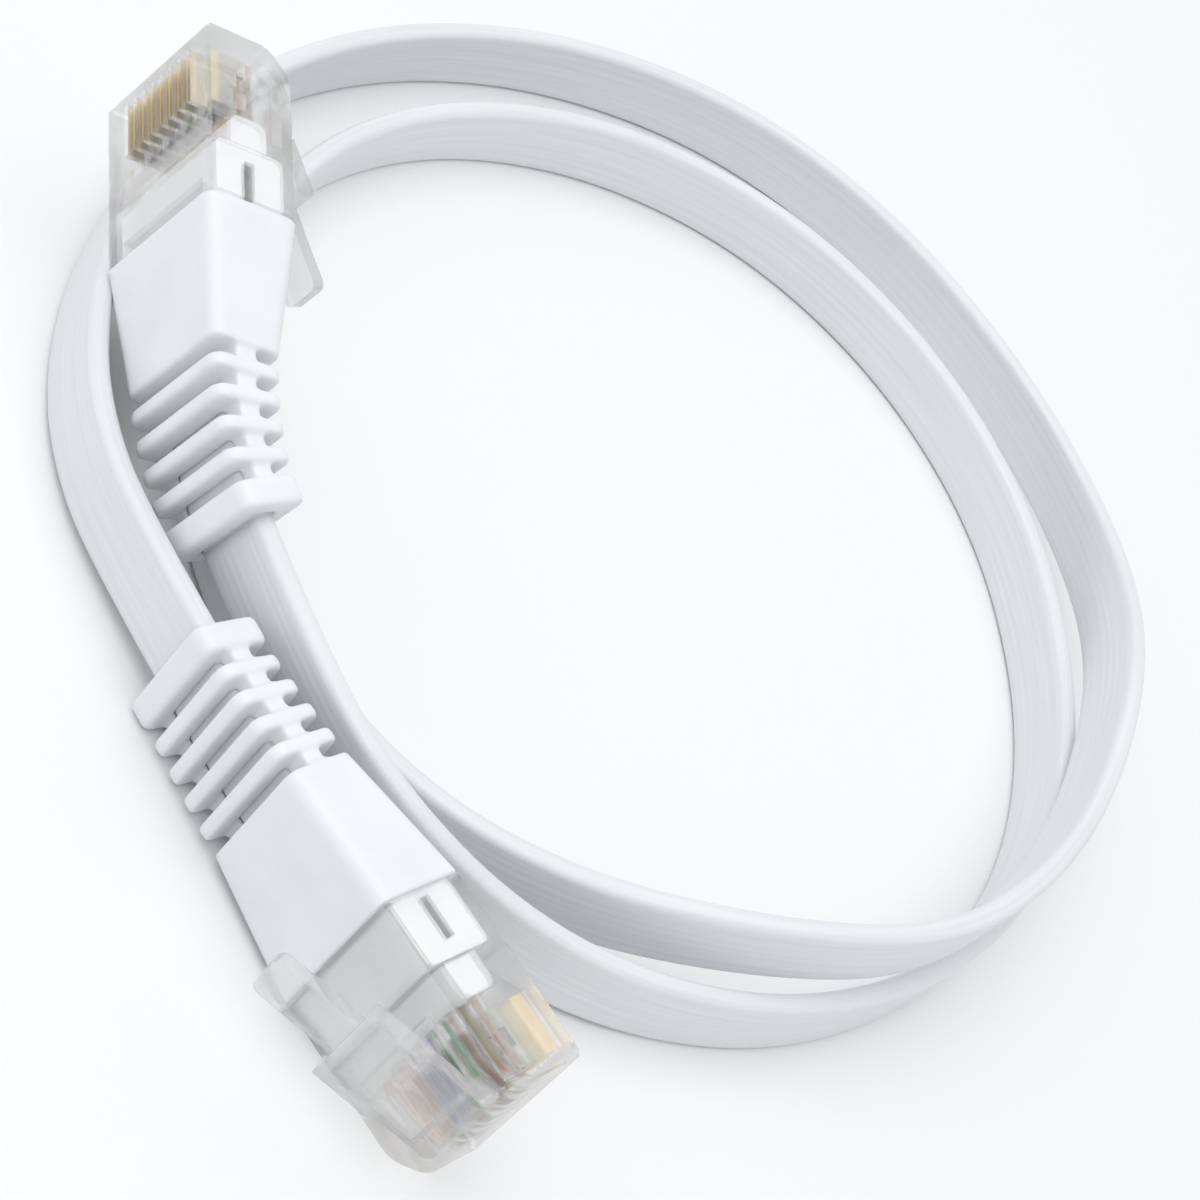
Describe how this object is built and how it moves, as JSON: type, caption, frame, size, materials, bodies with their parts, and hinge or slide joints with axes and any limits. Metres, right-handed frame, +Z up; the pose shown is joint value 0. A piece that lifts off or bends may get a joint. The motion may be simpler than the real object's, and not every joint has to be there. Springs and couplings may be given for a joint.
{
  "type": "ethernet patch cable",
  "caption": "Short white flat ethernet patch cable in two loose turns, with a clear eight-contact plug, sprung latch and ribbed boot on each end.",
  "frame": {"origin": "on the floor, below the middle of the two plugs and their boots", "axes": "+Z up, +X towards the right plug's nose, +Y from the plugs into the cable's loop"},
  "size_m": [0.0835, 0.114, 0.0191],
  "materials": {
    "clear_shell": "clear moulded polycarbonate, glossy",
    "gold": "gold plated, bright",
    "white_insert": "white moulded, satin",
    "white_boot": "white soft vinyl, satin",
    "white_jacket": "white vinyl, satin, faint lengthwise ridges",
    "wire_white_orange": "extruded insulation, satin",
    "wire_orange": "extruded insulation, satin",
    "wire_white_green": "extruded insulation, satin",
    "wire_blue": "extruded insulation, satin",
    "wire_white_blue": "extruded insulation, satin",
    "wire_green": "extruded insulation, satin",
    "wire_white_brown": "extruded insulation, satin",
    "wire_brown": "extruded insulation, satin"
  },
  "bodies": {
    "cable_assembly": {"flat_cable": "white_jacket", "left_plug_shell": "clear_shell", "left_contacts": "gold", "left_wire_guide": "white_insert", "left_cable_insert": "white_insert", "left_boot": "white_boot", "left_cable_end": "white_jacket", "left_wire_white_orange": "wire_white_orange", "left_wire_orange": "wire_orange", "left_wire_white_green": "wire_white_green", "left_wire_blue": "wire_blue", "left_wire_white_blue": "wire_white_blue", "left_wire_green": "wire_green", "left_wire_white_brown": "wire_white_brown", "left_wire_brown": "wire_brown", "right_plug_shell": "clear_shell", "right_contacts": "gold", "right_wire_guide": "white_insert", "right_cable_insert": "white_insert", "right_boot": "white_boot", "right_cable_end": "white_jacket", "right_wire_white_orange": "wire_white_orange", "right_wire_orange": "wire_orange", "right_wire_white_green": "wire_white_green", "right_wire_blue": "wire_blue", "right_wire_white_blue": "wire_white_blue", "right_wire_green": "wire_green", "right_wire_white_brown": "wire_white_brown", "right_wire_brown": "wire_brown"},
    "left_lever": {"left_latch": "clear_shell"},
    "right_lever": {"right_latch": "clear_shell"}
  },
  "joints": [
    {"name": "left_latch_press", "type": "hinge", "parent": "cable_assembly", "child": "left_lever", "pos_m": [-0.02767, 0.02009, 0.01292], "axis": [-0.1245, 0.0452, -0.9912], "range_deg": [0, 14], "stiffness_Nm_per_rad": 0.1},
    {"name": "right_latch_press", "type": "hinge", "parent": "cable_assembly", "child": "right_lever", "pos_m": [0.03013, -0.01815, 0.0073], "axis": [0.0847, -0.0205, -0.9962], "range_deg": [0, 14], "stiffness_Nm_per_rad": 0.1}
  ]
}
